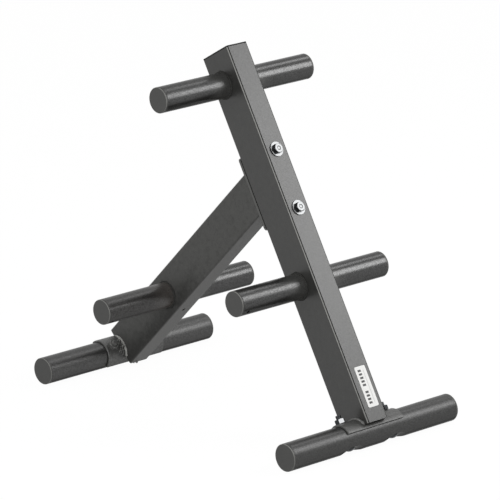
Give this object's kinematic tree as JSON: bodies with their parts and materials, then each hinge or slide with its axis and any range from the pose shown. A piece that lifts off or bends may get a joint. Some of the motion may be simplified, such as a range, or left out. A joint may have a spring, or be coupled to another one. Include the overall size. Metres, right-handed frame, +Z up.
{
  "type": "plate tree",
  "caption": "Freestanding A-frame plate tree: a leaning box-section upright and a rear brace on round cross feet, with round capped horns that weight plates slide onto.",
  "frame": {"origin": "centre of the footprint at floor level", "axes": "+Z up, the horns and feet run along X, -Y is the front where the upright's foot stands, +X is the right of someone who looks at the front"},
  "size_m": [0.415, 0.7229, 0.69],
  "materials": {
    "coated_steel": "satin",
    "cap_plastic": "matte",
    "zinc_hardware": "satin",
    "label_film": "satin"
  },
  "bodies": {
    "root": {"upright_tube": "coated_steel", "brace_tube": "coated_steel", "mounting_plate": "coated_steel", "top_left_horn": "coated_steel", "top_right_horn": "coated_steel", "mid_left_horn": "coated_steel", "mid_right_horn": "coated_steel", "rear_left_horn": "coated_steel", "rear_right_horn": "coated_steel", "front_foot_tube": "coated_steel", "rear_foot_tube": "coated_steel", "front_saddle": "coated_steel", "rear_saddle": "coated_steel", "upright_cap": "cap_plastic", "top_left_cap": "cap_plastic", "top_right_cap": "cap_plastic", "mid_left_cap": "cap_plastic", "mid_right_cap": "cap_plastic", "rear_left_cap": "cap_plastic", "rear_right_cap": "cap_plastic", "front_foot_left_cap": "cap_plastic", "front_foot_right_cap": "cap_plastic", "rear_foot_left_cap": "cap_plastic", "rear_foot_right_cap": "cap_plastic", "upright_bolts": "zinc_hardware", "upright_front_washers": "zinc_hardware", "upright_rear_washers": "zinc_hardware", "upright_nuts": "zinc_hardware", "front_foot_bolts": "zinc_hardware", "front_foot_nuts": "zinc_hardware", "rear_foot_bolts": "zinc_hardware", "rear_foot_nuts": "zinc_hardware", "blank_label": "label_film"}
  },
  "joints": []
}
